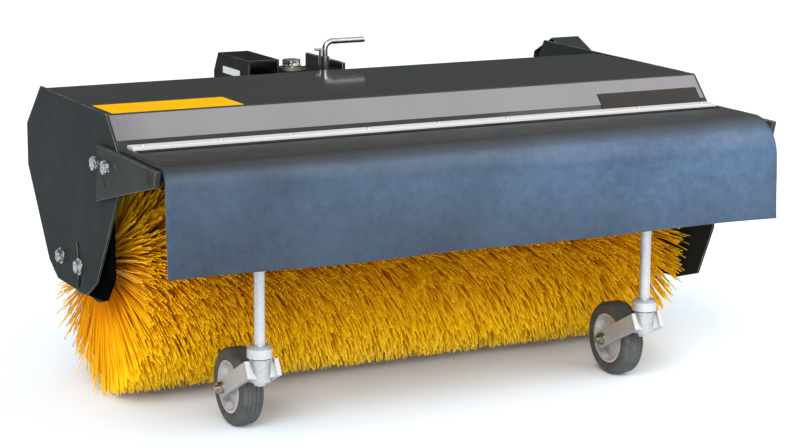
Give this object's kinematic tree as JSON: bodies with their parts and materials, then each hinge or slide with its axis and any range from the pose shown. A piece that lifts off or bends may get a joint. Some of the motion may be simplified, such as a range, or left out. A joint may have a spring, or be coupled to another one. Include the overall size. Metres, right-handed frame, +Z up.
{
  "type": "power brush sweeper",
  "caption": "Tractor-mounted power sweeper: a bristle roll under a folded hood, rubber front flap, caster legs, side chain drive, bevel gearbox and swivelling rear hitch.",
  "frame": {"origin": "centre of the part's own box, on the floor that the wheels and brush stand on", "axes": "+X along the brush towards the drive side, +Y to the rear, where the hitch is, +Z up"},
  "size_m": [1.119, 0.824, 0.519],
  "materials": {
    "charcoal_paint": "semi-gloss charcoal powder coat",
    "black_paint": "satin black paint",
    "silver_band": "silver-grey paint band",
    "aluminium": "bright rolled aluminium",
    "zinc_plate": "bright zinc plate",
    "yellow_zinc": "yellow passivated zinc",
    "rim_zinc": "zinc plated pressed steel",
    "tyre_rubber": "matt grey-black rubber",
    "flap_rubber": "calendered blue-grey rubber sheet",
    "bristle": "yellow polypropylene monofilament",
    "cast_iron": "painted casting",
    "cast_aluminium": "grey cast aluminium",
    "guard_plastic": "black plastic guard tube",
    "machined_steel": "oiled machined steel"
  },
  "bodies": {
    "frame": {"end_plate_left": "charcoal_paint", "end_plate_right": "charcoal_paint", "hood": "charcoal_paint", "front_band": "silver_band", "clamp_strip": "aluminium", "strip_screws": "zinc_plate", "rubber_flap": "flap_rubber", "support_arm_left": "charcoal_paint", "support_arm_right": "charcoal_paint", "arm_bolts": "zinc_plate", "front_beam": "charcoal_paint", "leg_clamp_left": "charcoal_paint", "leg_clamp_right": "charcoal_paint", "clamp_screws": "zinc_plate", "bearing_bracket": "black_paint", "bracket_bolts": "zinc_plate", "brush_bearing_left": "cast_iron", "brush_bearing_right": "cast_iron", "drive_chain": "machined_steel", "chain_case": "charcoal_paint", "case_screws": "zinc_plate", "rear_beam": "charcoal_paint", "hitch_post": "charcoal_paint", "turntable_base": "black_paint", "gearbox_housing": "cast_aluminium", "gearbox_cover": "cast_aluminium", "gearbox_screws": "zinc_plate", "cross_bearing": "cast_iron", "shaft_guard": "guard_plastic", "king_bolt": "zinc_plate", "king_washers": "zinc_plate", "king_nut": "zinc_plate"},
    "brush": {"brush_shaft": "machined_steel", "brush_core": "black_paint", "bristle_roll_left": "bristle", "bristle_roll_right": "bristle", "brush_sprocket": "machined_steel"},
    "cross_drive": {"cross_shaft": "machined_steel", "cross_bevel_gear": "machined_steel", "drive_sprocket": "machined_steel"},
    "input_drive": {"input_shaft": "machined_steel", "input_bevel_gear": "machined_steel"},
    "hitch_head": {"swivel_plate": "black_paint", "hitch_channel": "charcoal_paint", "hitch_cheek": "charcoal_paint", "hitch_flange": "charcoal_paint", "lever_sleeve": "zinc_plate"},
    "lever": {"clamp_lever": "zinc_plate"},
    "leg_left": {"caster_leg_left": "zinc_plate", "swivel_nut_left": "zinc_plate"},
    "fork_left": {"caster_fork_left": "zinc_plate", "axle_bolt_left": "yellow_zinc"},
    "wheel_left": {"wheel_rim_left": "rim_zinc", "tyre_left": "tyre_rubber"},
    "leg_right": {"caster_leg_right": "zinc_plate", "swivel_nut_right": "zinc_plate"},
    "fork_right": {"caster_fork_right": "zinc_plate", "axle_bolt_right": "yellow_zinc"},
    "wheel_right": {"wheel_rim_right": "rim_zinc", "tyre_right": "tyre_rubber"}
  },
  "joints": [
    {"name": "brush_spin", "type": "hinge", "parent": "frame", "child": "brush", "pos_m": [-0.0235, 0.026, 0.21], "axis": [1, 0, 0], "continuous": true},
    {"name": "cross_shaft_spin", "type": "hinge", "parent": "frame", "child": "cross_drive", "pos_m": [-0.0235, 0.295, 0.38], "axis": [1, 0, 0], "continuous": true},
    {"name": "input_shaft_spin", "type": "hinge", "parent": "frame", "child": "input_drive", "pos_m": [-0.0515, 0.35, 0.38], "axis": [0, 1, 0], "continuous": true},
    {"name": "hitch_swivel", "type": "hinge", "parent": "frame", "child": "hitch_head", "pos_m": [-0.0515, 0.255, 0.46], "axis": [0, 0, 1], "range_deg": [-15, 15]},
    {"name": "clamp_lever_turn", "type": "hinge", "parent": "hitch_head", "child": "lever", "pos_m": [0.0055, 0.24, 0.48], "axis": [0, 0, 1], "range_deg": [0, 180]},
    {"name": "leg_left_slide", "type": "slide", "parent": "frame", "child": "leg_left", "axis": [0, 0, 1], "range_m": [-0.03, 0.03]},
    {"name": "caster_left_swivel", "type": "hinge", "parent": "leg_left", "child": "fork_left", "pos_m": [-0.3615, -0.311, 0.105], "axis": [0, 0, 1], "continuous": true},
    {"name": "wheel_left_spin", "type": "hinge", "parent": "fork_left", "child": "wheel_left", "pos_m": [-0.3615, -0.229, 0.06], "axis": [1, 0, 0], "continuous": true},
    {"name": "leg_right_slide", "type": "slide", "parent": "frame", "child": "leg_right", "axis": [0, 0, 1], "range_m": [-0.03, 0.03]},
    {"name": "caster_right_swivel", "type": "hinge", "parent": "leg_right", "child": "fork_right", "pos_m": [0.3145, -0.311, 0.105], "axis": [0, 0, 1], "continuous": true},
    {"name": "wheel_right_spin", "type": "hinge", "parent": "fork_right", "child": "wheel_right", "pos_m": [0.3145, -0.229, 0.06], "axis": [1, 0, 0], "continuous": true}
  ],
  "couplings": [
    {"joint": "cross_shaft_spin", "follows": "brush_spin", "ratio": 2},
    {"joint": "input_shaft_spin", "follows": "brush_spin", "ratio": -2}
  ]
}
